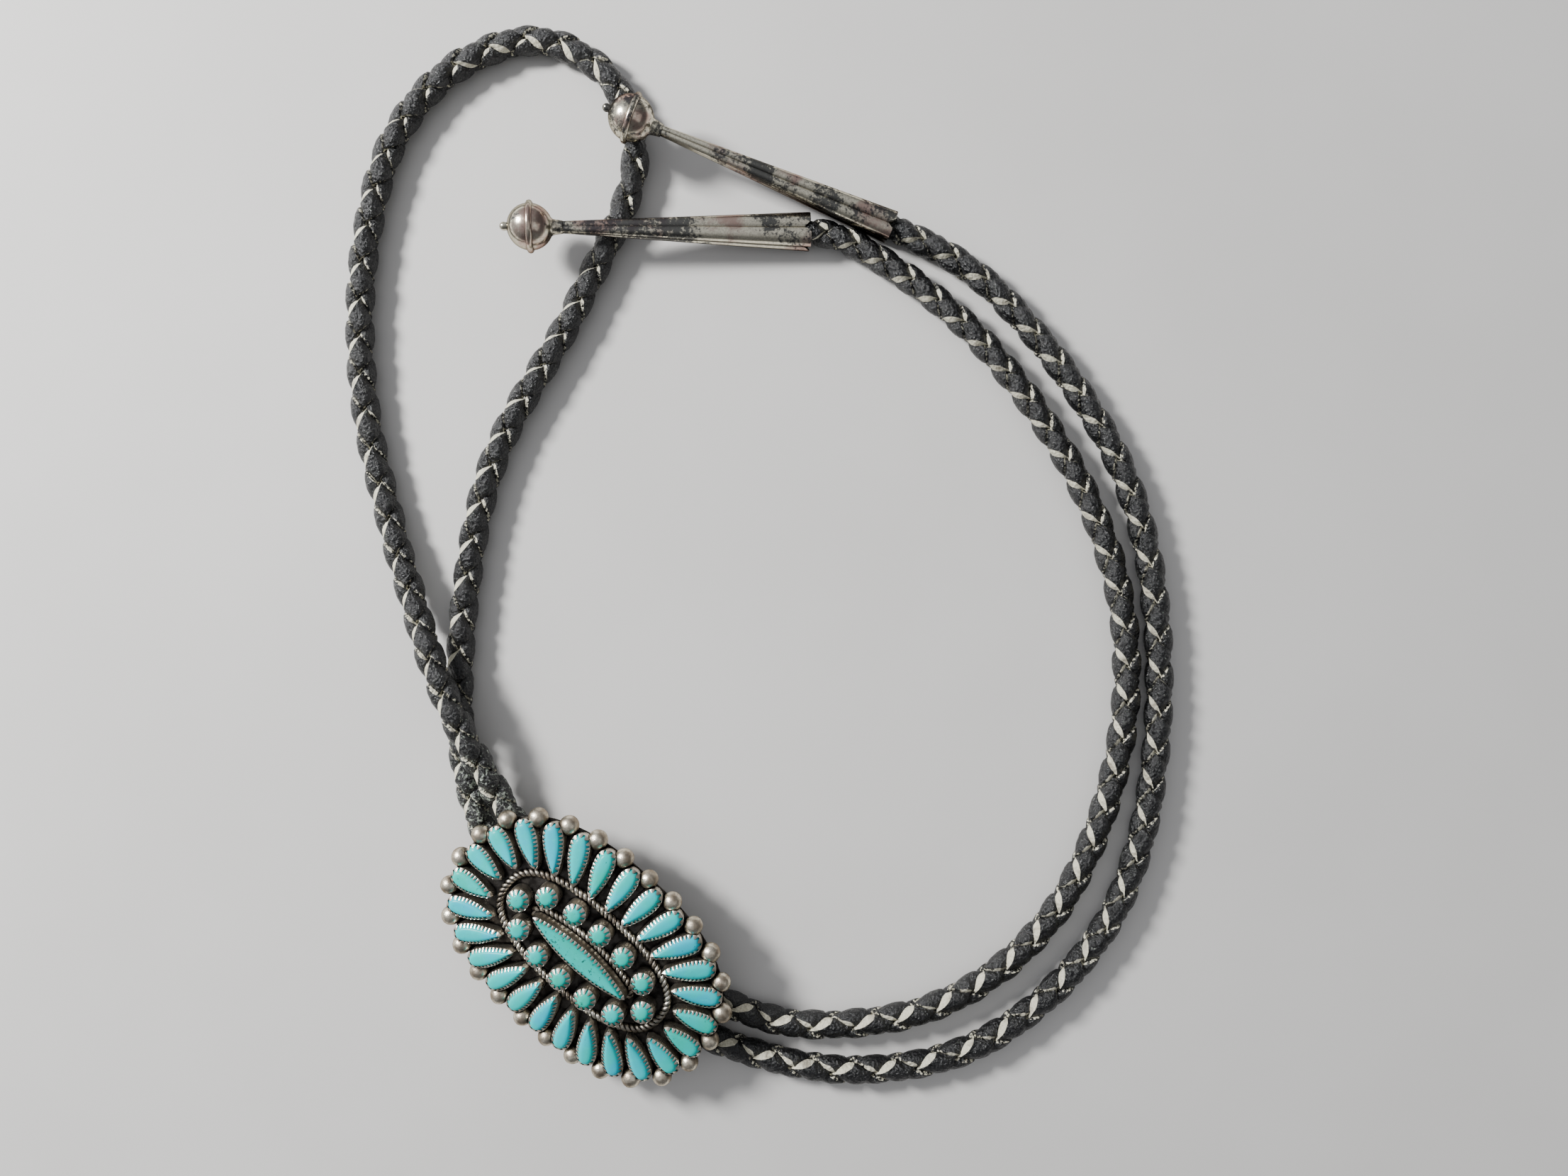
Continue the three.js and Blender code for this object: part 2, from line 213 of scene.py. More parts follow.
def build_cord():
    """Four closed laces in one mesh, each with its raw edges marked in a point attribute, at half where
    painted shade falls on them.
    """
    pick = random.Random(7)
    frames = upright_frames(cord_line)
    last = len(frames) - 1
    spacing = cord_length / last
    phases = [0.0]
    for index in range(last + 1):
        turn = braid_turn(index * spacing, (last - index) * spacing)
        phases.append(phases[-1] + 2 * math.pi * spacing / turn)
    half_turns = int(phases[-1] / math.pi) + 4
    loose = [[pick.uniform(-1, 1) for _ in range(half_turns)] for _ in range(12)]

    def drift(row, half_turn):
        """A slow random swing between -1 and 1, of its own in each row."""
        whole = math.floor(half_turn)
        share = half_turn - whole
        share = share * share * (3 - 2 * share)
        whole = max(0, min(whole, half_turns - 2))
        return loose[row][whole] * (1 - share) + loose[row][whole + 1] * share

    def half_section(facing, on_top):
        """From the raw edge to the middle: how far across, how far out, and how raw; edges that face away
        from the bevelled side, or lie under the cord, count as half raw, a painted shade.
        """
        share = max(0.0, min(1.0, 0.1 + 1.35 * facing)) * on_top
        bevel = LEAST_BEVEL + (MOST_BEVEL - LEAST_BEVEL) * share
        lift = BEVEL_LIFT * (2 * share - 1)
        # Painted shade: raw hide facing away from the bevelled side, or under the cord, is marked only
        # half raw and shows mostly black.
        raw_and_shade = 0.5 + 0.5 * min(1.0, 3 * share)
        return [
            (1.06, -0.45, raw_and_shade),
            (1.08, -0.12 + lift, raw_and_shade),
            (1.02 - bevel, 0.44 + lift, raw_and_shade),
            (0.965 - bevel, 0.51 + 0.6 * lift, 0.0),
            (0.48, 0.58, 0.0),
        ]

    vertices, faces, raw_and_shade = [], [], []
    for lace in range(4):
        way = 1 if lace < 2 else -1
        start = math.pi * (lace % 2)
        base = len(vertices)
        for index in range(last + 1):
            phase = phases[index]
            half_turn = phase / math.pi + 1
            width = LACE_HALF_WIDTH * (1 + 0.06 * drift(lace, half_turn))
            lean = (0.07 + 0.1 * drift(lace + 4, half_turn)) * MM
            lift = 0.05 * drift(lace + 8, half_turn) * MM
            end = min(index, last - index) * spacing / END_TAPER
            squeeze = END_SQUEEZE + (1 - END_SQUEEZE) * min(1.0, end) ** 0.7
            roll = braid_roll(index * spacing, (last - index) * spacing)
            over = way * wave(2 * phase)
            turned = way * phase + start + roll
            spot, ahead, upright, side = frames[index]
            across_lace = (side * math.cos(turned) - upright * math.sin(turned)) - way * ahead
            facing = across_lace.normalized().dot(bevelled_side(spot))
            on_top = max(0.0, over) * max(0.0, math.cos(turned))
            section = half_section(facing, on_top) + [(0.0, 0.6, 0.0)]
            other_half = reversed(half_section(-facing, on_top))
            section += [(-across, out, cut_and_shade) for across, out, cut_and_shade in other_half]
            for across, out, cut_and_shade in section:
                # The point lies across the lace on the unrolled braid, half of it ahead and half round.
                shift = across * width / 2
                x = phase - way * shift
                angle = way * phase + start + shift
                radius = LACE_MIDDLE_RADIUS + LACE_RISE * over + lift
                radius += out * MM + lean * across
                turned = angle - BRAID_WOBBLE * math.sin(2 * x) + roll
                place = index + (x - phase) / (phases[index + 1] - phase)
                whole = max(0, min(int(math.floor(place)), last - 1))
                share = place - whole
                point, _, upright, side = frames[whole]
                centre = point.lerp(frames[whole + 1][0], share)
                arm = upright * math.cos(turned) + side * math.sin(turned)
                vertices.append(centre + arm * radius * squeeze)
                raw_and_shade.append(cut_and_shade)
        size = len(section)
        for index in range(last):
            for number in range(size):
                a = base + index * size + number
                b = base + index * size + (number + 1) % size
                face = (a, b, b + size, a + size)
                faces.append(face if way > 0 else face[::-1])
        first_cap = tuple(range(base, base + size))
        last_cap = tuple(range(base + last * size, base + (last + 1) * size))
        faces.append(first_cap[::-1] if way > 0 else first_cap)
        faces.append(last_cap if way > 0 else last_cap[::-1])
    mesh = bpy.data.meshes.new("braided_laces")
    mesh.from_pydata(vertices, [], faces)
    mesh.attributes.new("raw_edge_and_shade", "FLOAT", "POINT").data.foreach_set("value", raw_and_shade)
    cord = bpy.data.objects.new("braided_laces", mesh)
    bpy.context.scene.collection.objects.link(cord)
    return cord


cord = build_cord()
bpy.ops.object.select_all(action="DESELECT")
bpy.context.view_layer.objects.active = cord
cord.select_set(True)
bpy.ops.object.mode_set(mode="EDIT")
bpy.ops.mesh.select_all(action="SELECT")
bpy.ops.mesh.normals_make_consistent(inside=False)
bpy.ops.object.mode_set(mode="OBJECT")
bpy.ops.object.shade_smooth_by_angle(angle=math.radians(50))


def new_material(name):
    """An empty node material, its tree and its shader."""
    material = bpy.data.materials.new(name)
    material.use_nodes = True
    tree = material.node_tree
    return material, tree, tree.nodes["Principled BSDF"]


def add_node(tree, kind, inputs, **settings):
    """A shader node. Each input is given a value, or another node's output to be linked to."""
    made = tree.nodes.new("ShaderNode" + kind)
    for name, value in settings.items():
        setattr(made, name, value)
    for name, value in inputs.items():
        if isinstance(value, bpy.types.NodeSocket):
            tree.links.new(value, made.inputs[name])
        else:
            made.inputs[name].default_value = value
    return made


def noise(tree, scale, detail=3.0, roughness=0.55):
    """Noise on the piece's own Object coordinates, with its features about 1 / scale metres across."""
    place = add_node(tree, "TexCoord", {}).outputs["Object"]
    made = add_node(
        tree, "TexNoise", {"Vector": place, "Scale": scale, "Detail": detail, "Roughness": roughness}
    )
    return made.outputs["Fac"]


def spread(tree, value, low, high, to_low=0.0, to_high=1.0):
    """The value, with low to high stretched over to_low to to_high."""
    made = add_node(
        tree,
        "MapRange",
        {"Value": value, "From Min": low, "From Max": high, "To Min": to_low, "To Max": to_high},
        interpolation_type="SMOOTHSTEP",
    )
    return made.outputs["Result"]


def mix_colour(tree, share, first, second):
    """One colour turning into another as the share goes from 0 to 1."""
    made = add_node(tree, "Mix", {}, data_type="RGBA")
    tree.links.new(share, made.inputs["Factor"])
    for socket, value in ((made.inputs[6], first), (made.inputs[7], second)):
        if isinstance(value, bpy.types.NodeSocket):
            tree.links.new(value, socket)
        else:
            socket.default_value = value
    return made.outputs[2]


def calculate(tree, operation, first, second):
    """The sum, product and so on of two values."""
    made = add_node(tree, "Math", {}, operation=operation)
    for socket, value in zip(made.inputs, (first, second)):
        if isinstance(value, bpy.types.NodeSocket):
            tree.links.new(value, socket)
        else:
            socket.default_value = value
    return made.outputs["Value"]


def black_leather():
    """Black calf with a glossy pebbled grain and raw hide on its cut edges. Scuffed patches are paler on
    the grain's crests, partly wear and partly a painted sheen; the raw hide is painted dark as shade where
    other laces crowd it, on cut edges facing away from the lit left side, and under the cord.

    Where the slide rubs it, the black has flaked away in pale green crackles.
    """
    material, tree, shader = new_material("black_leather")
    place = add_node(tree, "TexCoord", {}).outputs["Object"]
    pebbles = add_node(
        tree, "TexVoronoi", {"Vector": place, "Scale": 1650.0, "Randomness": 1.0}, feature="F1"
    ).outputs["Distance"]
    creases = noise(tree, 1300.0, 5.0, 0.7)
    grain = calculate(tree, "SUBTRACT", creases, calculate(tree, "MULTIPLY", pebbles, 0.6))
    # Scuffed patches turn the grain's crests paler: partly wear, partly a painted sheen on the crests.
    scuffs = spread(tree, noise(tree, 240.0, 6.0, 0.7), 0.54, 0.72)
    scuffed_and_sheen = calculate(tree, "MULTIPLY", scuffs, spread(tree, grain, 0.16, 0.4))
    black = mix_colour(tree, scuffed_and_sheen, (0.0008, 0.0010, 0.0014, 1), (0.085, 0.09, 0.08, 1))
    from_slide = add_node(
        tree, "VectorMath", {0: place, 1: (-0.034, -0.040, 0.004)}, operation="DISTANCE"
    ).outputs["Value"]
    near_slide = spread(tree, from_slide, 0.004, 0.030, 0.115, 0.0)
    flaked = calculate(tree, "ADD", noise(tree, 1100.0, 7.0, 0.75), near_slide)
    black = mix_colour(tree, spread(tree, flaked, 0.655, 0.7), black, (0.38, 0.43, 0.36, 1))
    # The raw-edge value also carries painted shade: edges marked half raw show as broken, mostly black
    # lines.
    raw_and_shade = add_node(tree, "Attribute", {}, attribute_name="raw_edge_and_shade").outputs["Fac"]
    frayed_raw_and_shade = calculate(tree, "ADD", raw_and_shade, spread(tree, noise(tree, 1900.0), 0.3, 0.7, -0.2, 0.2))
    is_raw_and_lit = spread(tree, frayed_raw_and_shade, 0.48, 0.62)
    fibres = spread(tree, noise(tree, 3200.0, 4.0, 0.7), 0.3, 0.75)
    soiled = spread(tree, noise(tree, 420.0, 3.0), 0.5, 0.72)
    hide = mix_colour(tree, fibres, (0.62, 0.58, 0.42, 1), (0.90, 0.87, 0.72, 1))
    hide = mix_colour(tree, soiled, hide, (0.34, 0.31, 0.24, 1))
    # Painted shade: the raw hide turns nearly black where other laces crowd in close over it.
    open_air = add_node(tree, "AmbientOcclusion", {"Distance": 0.6 * MM}, samples=8).outputs["AO"]
    hide = mix_colour(tree, spread(tree, open_air, 0.1, 0.36), (0.04, 0.037, 0.03, 1), hide)
    tree.links.new(mix_colour(tree, is_raw_and_lit, black, hide), shader.inputs["Base Color"])
    sheen = spread(tree, grain, 0.05, 0.42, 0.36, 0.12)
    dull = calculate(tree, "MAXIMUM", sheen, calculate(tree, "MULTIPLY", is_raw_and_lit, 0.88))
    tree.links.new(dull, shader.inputs["Roughness"])
    bump = add_node(tree, "Bump", {"Height": grain, "Strength": 1.0, "Distance": 0.34 * MM})
    tree.links.new(bump.outputs["Normal"], shader.inputs["Normal"])
    shader.inputs["Specular IOR Level"].default_value = 0.7
    return material


cord.data.materials.append(black_leather())
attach(cord, "root")
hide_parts("braided_cord")

# ---------------------------------------------------------------- Slide's back plate
# The slide is soldered up on one oval plate of silver sheet, about a millimetre thick and domed by
# hammering, then blackened with liver of sulphur and polished back. It lies turned and tilted on
# the cord, and all its pieces are laid out on the plate in the slide's own frame.
SLIDE_CENTRE = Vector((-15.3, -64.8, 9.2)) * MM
SLIDE_TURN = math.radians(-42)
SLIDE_TILT = math.radians(8)
OVAL_FULLNESS = 2.4
PLATE_HALF_LENGTH = 28.2 * MM
PLATE_HALF_WIDTH = 18 * MM
PLATE_THICKNESS = 0.9 * MM
PLATE_EDGE_HEIGHT = -0.75 * MM
PLATE_DOME = 2.4 * MM
PLATE_SIDES = 96
slide_place = (
    Matrix.Translation(SLIDE_CENTRE)
    @ Matrix.Rotation(SLIDE_TURN, 4, "Z")
    @ Matrix.Rotation(SLIDE_TILT, 4, "X")
)


def oval_corner(angle, half_length, half_width):
    """A point of a full-cornered oval."""
    cosine, sine = math.cos(angle), math.sin(angle)
    return Vector((
        half_length * math.copysign(abs(cosine) ** (2 / OVAL_FULLNESS), cosine),
        half_width * math.copysign(abs(sine) ** (2 / OVAL_FULLNESS), sine),
    ))


def even_round(corners, count, start=0.0):
    """So many points, evenly spaced round a closed outline, from that share of it on."""
    closed = corners + corners[:1]
    lengths = [(b - a).length for a, b in zip(closed, closed[1:])]
    total = sum(lengths)
    points, index, done = [], 0, 0.0
    for number in range(count):
        reach = (number + start) * total / count
        while done + lengths[index] < reach:
            done += lengths[index]
            index += 1
        points.append(closed[index].lerp(closed[index + 1], (reach - done) / lengths[index]))
    return points


def even_oval(half_length, half_width, count, start=0.0):
    """So many points, evenly spaced round an oval from its +X end."""
    steps = 180
    corners = [oval_corner(2 * math.pi * step / steps, half_length, half_width) for step in range(steps)]
    return even_round(corners, count, start)


def dome_height(x, y):
    """How high the plate's top is."""
    along = abs(x / PLATE_HALF_LENGTH) ** OVAL_FULLNESS
    across = abs(y / PLATE_HALF_WIDTH) ** OVAL_FULLNESS
    return PLATE_EDGE_HEIGHT + PLATE_DOME * (1 - (along + across) ** (2 / OVAL_FULLNESS))


def on_plate(point):
    """The place on the plate's top over a point of the slide's own plan."""
    return Vector((point.x, point.y, dome_height(point.x, point.y)))


def edit_only(piece):
    """Nothing but this piece is selected."""
    bpy.ops.object.select_all(action="DESELECT")
    bpy.context.view_layer.objects.active = piece
    piece.select_set(True)


def set_down(piece, place, smooth_angle=40):
    """The piece's place goes into its mesh, and its faces are shaded round up to that angle."""
    edit_only(piece)
    piece.matrix_world = place
    bpy.ops.object.transform_apply(location=True, rotation=True, scale=True)
    bpy.ops.object.shade_smooth_by_angle(angle=math.radians(smooth_angle))


def finish_mesh(piece, kind, **settings):
    """A modifier is added and applied."""
    edit_only(piece)
    modifier = piece.modifiers.new(kind.lower(), kind)
    for name, value in settings.items():
        setattr(modifier, name, value)
    bpy.ops.object.modifier_apply(modifier=modifier.name)


def oxidised_silver(name, worn, dark, tarnish, polish, crevice=0.7 * MM, patch_scale=520.0):
    """Silver that is black in its recesses, tarnished warm grey, and rubbed pale where it stands out."""
    material, tree, shader = new_material(name)
    open_air = add_node(tree, "AmbientOcclusion", {"Distance": crevice}, samples=8).outputs["AO"]
    patches = spread(tree, noise(tree, patch_scale, 4.0, 0.55), 0.36, 0.66)
    fine = spread(tree, noise(tree, 2600.0, 4.0, 0.7), 0.35, 0.7)
    rubbed = calculate(tree, "ADD", open_air, spread(tree, patches, 0.0, 1.0, -0.16, 0.1))
    rubbed = spread(tree, rubbed, 0.34, 0.88)
    silver = mix_colour(tree, patches, tarnish, worn)
    silver = mix_colour(tree, calculate(tree, "MULTIPLY", fine, 0.35), silver, tarnish)
    tree.links.new(mix_colour(tree, rubbed, dark, silver), shader.inputs["Base Color"])
    shader.inputs["Metallic"].default_value = 1.0
    shader.inputs["Specular Tint"].default_value = (0.55, 0.52, 0.48, 1)
    dull = spread(tree, patches, 0.0, 1.0, polish + 0.14, polish)
    dull = calculate(tree, "ADD", dull, spread(tree, rubbed, 0.0, 1.0, 0.25, 0.0))
    tree.links.new(dull, shader.inputs["Roughness"])
    worked = calculate(tree, "ADD", noise(tree, 900.0, 4.0), calculate(tree, "MULTIPLY", fine, 0.3))
    bump = add_node(tree, "Bump", {"Height": worked, "Strength": 0.4, "Distance": 0.12 * MM})
    tree.links.new(bump.outputs["Normal"], shader.inputs["Normal"])
    return material


black_plate = oxidised_silver(
    "blackened_plate", (0.07, 0.065, 0.06, 1), (0.004, 0.004, 0.004, 1), (0.02, 0.018, 0.017, 1), 0.42
)
bpy.ops.object.select_all(action="DESELECT")
bpy.ops.mesh.primitive_circle_add(vertices=PLATE_SIDES, radius=1.0, fill_type="NGON")
plate = bpy.context.active_object
plate.name = "slide_plate"
bpy.ops.object.mode_set(mode="EDIT")
bpy.ops.mesh.select_mode(type="FACE")
for ring in range(7):
    bpy.ops.mesh.inset(thickness=0.13)
bpy.ops.mesh.poke()
bpy.ops.object.mode_set(mode="OBJECT")
plate_oval = even_oval(PLATE_HALF_LENGTH, PLATE_HALF_WIDTH, PLATE_SIDES)
for vertex in plate.data.vertices:
    turn = math.atan2(vertex.co.y, vertex.co.x) / (2 * math.pi) * PLATE_SIDES % PLATE_SIDES
    corner, next_corner = int(turn) % PLATE_SIDES, (int(turn) + 1) % PLATE_SIDES
    edge = plate_oval[corner].lerp(plate_oval[next_corner], turn - int(turn))
    vertex.co = on_plate(edge * vertex.co.xy.length)
finish_mesh(plate, "SOLIDIFY", thickness=PLATE_THICKNESS, offset=-1.0)
finish_mesh(
    plate, "BEVEL", width=0.25 * MM, segments=2, limit_method="ANGLE", angle_limit=math.radians(60)
)
set_down(plate, slide_place, 30)
plate.data.materials.append(black_plate)
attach(plate, "root")
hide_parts("slide_setting")

# ---------------------------------------------------------------- Stones in their cups
# Turquoise cut to low domes and set in cups of thin silver strip. The strip's top edge is filed
# into saw teeth, which are pushed down over the stone's edge to grip it. Long drops stand round the
# oval like petals, small rounds form a ring inside them, and a long pointed one lies in the middle.
PETALS = 26
PETAL_OUTER = (27.4 * MM, 17.2 * MM)
PETAL_INNER = (20.2 * MM, 9.3 * MM)
PETAL_WIDTH = 2.8 * MM
PETAL_CUP_TOP = 1.95 * MM
PETAL_STONE_TOP = 2.7 * MM
ROUNDS = 12
ROUND_RING = (15 * MM, 5.6 * MM)
ROUND_WIDTH = 2.7 * MM
ROUND_CUP_TOP = 2.8 * MM
ROUND_STONE_TOP = 3.45 * MM
CENTRE_LENGTH = 21 * MM
CENTRE_WIDTH = 3.3 * MM
CENTRE_CUP_TOP = 3.0 * MM
CENTRE_STONE_TOP = 3.8 * MM
CUP_FOOT = -0.6 * MM  # let into the plate
CUP_REACH = 0.62 * MM  # from the stone's seen edge to the cup's outside
ROUND_CUP_REACH = 0.85 * MM
CUP_WALL = 0.26 * MM
TOOTH_PITCH = 0.8 * MM
STONE_GAP = 0.32 * MM  # from the cup's outside to the stone's upright side
DROP_BLUNTNESS = 0.75
DROP_TAPER = 0.5
DROP_SWELL = 1.276  # brings the widest place of the drop to PETAL_WIDTH


class Station:
    """A place on a stone's outline: its point, the spine point inside it, and the way out."""

    def __init__(self, edge, spine):
        self.edge = edge
        self.spine = spine
        self.out = Vector((0, 0))

    def at(self, grow, height):
        point = self.edge + self.out * grow
        return Vector((point.x, point.y, height))

    def towards_spine(self, share, height):
        point = self.spine.lerp(self.edge, share)
        return Vector((point.x, point.y, height))


def stations_round(corners, count):
    """Evenly spaced stations from corners that each hold an edge point and a spine point."""
    pairs = even_round([Vector((*edge, *spine)) for edge, spine in corners], count)
    stations = [Station(Vector(pair[:2]), Vector(pair[2:])) for pair in pairs]
    for before, station, after in zip(stations[-1:] + stations, stations, stations[1:] + stations[:1]):
        way = (after.edge - before.edge).normalized()
        station.out = Vector((way.y, -way.x))
    return stations


def arc(centre, radius, start, end, spine, steps=24):
    """Corners along an arc about a centre, with one spine point for all, or one beside each."""
    corners = []
    for step in range(steps + 1):
        angle = start + (end - start) * step / steps
        edge = Vector(centre) + radius * Vector((math.cos(angle), math.sin(angle)))
        corners.append((edge, spine if spine else Vector((edge.x * 0.9, 0))))
    return corners


def drop_corners(length):
    """A drop with its narrow end at x = 0, widest seven tenths of the way to its round end."""
    wide = PETAL_WIDTH / 2
    steps = 120
    corners = []
    for step in range(steps):
        angle = 2 * math.pi * step / steps
        along = length * (1 + math.cos(angle)) / 2
        taper = (along / length) ** DROP_TAPER
        across = DROP_SWELL * wide * abs(math.sin(angle)) ** DROP_BLUNTNESS * taper
        spine = Vector((min(max(along, wide), length - wide), 0))
        corners.append((Vector((along, math.copysign(across, math.sin(angle)))), spine))
    return corners


def round_corners():
    """A circle."""
    return arc((0, 0), ROUND_WIDTH / 2, 0, 2 * math.pi, Vector((0, 0)), 48)[:-1]


def pointed_corners():
    """A slim pointed oval of two long arcs."""
    reach, half = CENTRE_LENGTH / 2, CENTRE_WIDTH / 2
    radius = (reach ** 2 + half ** 2) / (2 * half)
    lean = math.asin(reach / radius)
    upper = arc((0, half - radius), radius, math.pi / 2 - lean, math.pi / 2 + lean, None)
    lower = arc((0, radius - half), radius, 1.5 * math.pi - lean, 1.5 * math.pi + lean, None)
    return upper[:-1] + lower[:-1]


def drawn_up(name, rings, cap_start=False, cap_end=False):
    """A circle placed on the first ring of points, and extruded ring by ring along the others."""
    count = len(rings[0])
    bpy.ops.object.select_all(action="DESELECT")
    bpy.ops.mesh.primitive_circle_add(vertices=count, fill_type="NGON" if cap_start else "NOTHING")
    piece = bpy.context.active_object
    piece.name = name
    place = piece.data.attributes.new("place", "INT", "POINT")
    place.data.foreach_set("value", list(range(count)))
    for vertex, point in zip(piece.data.vertices, rings[0]):
        vertex.co = point
    bpy.ops.object.mode_set(mode="EDIT")
    if cap_start:
        bpy.ops.mesh.flip_normals()
    bpy.ops.mesh.select_mode(type="EDGE")
    bpy.ops.mesh.select_all(action="SELECT")
    for ring in rings[1:]:
        bpy.ops.mesh.extrude_edges_move(TRANSFORM_OT_translate={"value": (0, 0, 0)})
        shape = bmesh.from_edit_mesh(piece.data)
        places = shape.verts.layers.int["place"]
        for vertex in shape.verts:
            if vertex.select:
                vertex.co = ring[vertex[places]]
        bmesh.update_edit_mesh(piece.data)
    if cap_end:
        bpy.ops.mesh.edge_face_add()
    bpy.ops.mesh.select_all(action="SELECT")
    if cap_start and cap_end:
        bpy.ops.mesh.normals_make_consistent(inside=False)
    bpy.ops.object.mode_set(mode="OBJECT")
    piece.data.attributes.remove(piece.data.attributes["place"])
    return piece


def serrated_cup(name, stations, top, reach=CUP_REACH):
    """A strip wall on the plate, whose top edge is filed into teeth that lean in over the stone."""
    wall = [(reach, CUP_FOOT), (reach, 0.55 * top), (reach - 0.03 * MM, 0.88 * top)]
    rings = [[station.at(grow, height) for station in stations] for grow, height in wall]
    rings.append([station.at(reach - 0.1 * MM, top) for station in stations])
    teeth = []
    for number, station in enumerate(stations):
        if number % 4 < 2:
            teeth.append(station.at(-0.12 * MM, top + 0.44 * MM))
        else:
            teeth.append(station.at(reach - 0.2 * MM, top - 0.04 * MM))
    rings.append(teeth)
    cup = drawn_up(name, rings)
    finish_mesh(cup, "SOLIDIFY", thickness=CUP_WALL, offset=-1.0)
    return cup


def domed_stone(name, stations, cup_top, top, reach=CUP_REACH):
    """A stone with upright sides under the cup's edge and a low polished dome."""
    sides = (0.2 * MM, cup_top - 0.15 * MM)
    rings = [[station.at(reach - STONE_GAP, height) for station in stations] for height in sides]
    for share, rise in ((1.0, 0.3), (0.92, 0.55), (0.78, 0.78), (0.55, 0.93), (0.3, 0.99), (0.1, 1.0)):
        height = cup_top + rise * (top - cup_top)
        rings.append([station.towards_spine(share, height) for station in stations])
    return drawn_up(name, rings, cap_start=True, cap_end=True)


def even_count(corners):
    """Four stations for each tooth: two for its tip and two for the gap beside it."""
    edges = [edge for edge, spine in corners]
    length = sum((b - a).length for a, b in zip(edges, edges[1:] + edges[:1]))
    return 4 * round(length / TOOTH_PITCH)


def polished_turquoise(name, blue, green, specks):
    """Turquoise: it drifts from blue to green within a stone, with faint clouds and dark specks."""
    material, tree, shader = new_material(name)
    drift = spread(tree, noise(tree, 170.0, 3.0, 0.5), 0.38, 0.62)
    clouds = spread(tree, noise(tree, 900.0, 4.0, 0.6), 0.5, 0.8)
    body = mix_colour(tree, drift, blue, green)
    body = mix_colour(tree, calculate(tree, "MULTIPLY", clouds, 0.35), body, (0.0, 0.80, 0.74, 1))
    dark = spread(tree, noise(tree, 1150.0, 4.0, 0.7), 0.68 - 0.07 * specks, 0.72 - 0.07 * specks)
    dark = calculate(tree, "MULTIPLY", dark, min(0.9, 0.3 + 0.6 * specks))
    tree.links.new(mix_colour(tree, dark, body, (0.02, 0.09, 0.07, 1)), shader.inputs["Base Color"])
    tree.links.new(spread(tree, dark, 0.0, 1.0, 0.3, 0.5), shader.inputs["Roughness"])
    shader.inputs["Specular IOR Level"].default_value = 0.22
    return material


cup_silver = oxidised_silver(
    "cup_silver", (0.88, 0.85, 0.76, 1), (0.012, 0.011, 0.010, 1), (0.46, 0.41, 0.34, 1), 0.26,
    crevice=0.5 * MM
)
turquoises = [
    polished_turquoise("sky_turquoise", (0.0, 0.60, 0.68, 1), (0.0, 0.60, 0.56, 1), 0.3),
    polished_turquoise("sea_turquoise", (0.0, 0.60, 0.57, 1), (0.0, 0.57, 0.47, 1), 0.4),
    polished_turquoise("deep_turquoise", (0.0, 0.52, 0.68, 1), (0.0, 0.58, 0.58, 1), 0.3),
    polished_turquoise("green_turquoise", (0.0, 0.57, 0.50, 1), (0.0, 0.54, 0.40, 1), 0.6),
]
speckled_turquoise = polished_turquoise(
    "speckled_turquoise", (0.0, 0.58, 0.52, 1), (0.0, 0.53, 0.42, 1), 1.4
)
stone_pick = random.Random(11)


def lay_stone(stone, cup, place, node, turquoise):
    """A stone and its cup go to their place on the plate, and the stone stands for its solid."""
    settled = place @ Matrix.Rotation(math.radians(stone_pick.uniform(-2, 2)), 4, "X")
    set_down(stone, settled, 50)
    set_down(cup, place, 35)
    stone.data.materials.append(turquoise)
    cup.data.materials.append(cup_silver)
    for piece in (stone, cup):
        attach(piece, "root")
    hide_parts(node)


inner_ends = even_oval(*PETAL_INNER, PETALS)
outer_ends = even_oval(*PETAL_OUTER, PETALS)
for number in range(PETALS):
    start, end = on_plate(inner_ends[number]), on_plate(outer_ends[number])
    along = (end - start).normalized()
    sideways = Vector((-along.y, along.x, 0)).normalized()
    axes = Matrix((along, sideways, along.cross(sideways))).transposed().to_4x4()
    place = slide_place @ Matrix.Translation(start) @ axes
    corners = drop_corners((end - start).length)
    stations = stations_round(corners, even_count(corners))
    count = f"{number + 1:02d}"
    stone = domed_stone(f"petal_turquoise_{count}", stations, PETAL_CUP_TOP, PETAL_STONE_TOP)
    cup = serrated_cup(f"petal_cup_{count}", stations, PETAL_CUP_TOP)
    turquoise = stone_pick.choice((turquoises[0], turquoises[0], *turquoises[:3]))
    lay_stone(stone, cup, place, f"petal_stone_{count}", turquoise)

corners = round_corners()
stations = stations_round(corners, even_count(corners))
first_round = domed_stone("round_turquoise", stations, ROUND_CUP_TOP, ROUND_STONE_TOP, ROUND_CUP_REACH)
first_cup = serrated_cup("round_cup", stations, ROUND_CUP_TOP, ROUND_CUP_REACH)
for number, spot in enumerate(even_oval(*ROUND_RING, ROUNDS)):
    pair = []
    for model in (first_round, first_cup):
        copied = model.copy()
        copied.data = model.data.copy()
        copied.name = f"{model.name}_{number + 1:02d}"
        bpy.context.scene.collection.objects.link(copied)
        pair.append(copied)
    place = slide_place @ Matrix.Translation(on_plate(spot))
    place = place @ Matrix.Rotation(stone_pick.uniform(0, math.pi), 4, "Z")
    turquoise = stone_pick.choice((turquoises[1], turquoises[1], turquoises[3]))
    lay_stone(*pair, place, f"round_stone_{number + 1:02d}", turquoise)
for model in (first_round, first_cup):
    bpy.data.objects.remove(model)

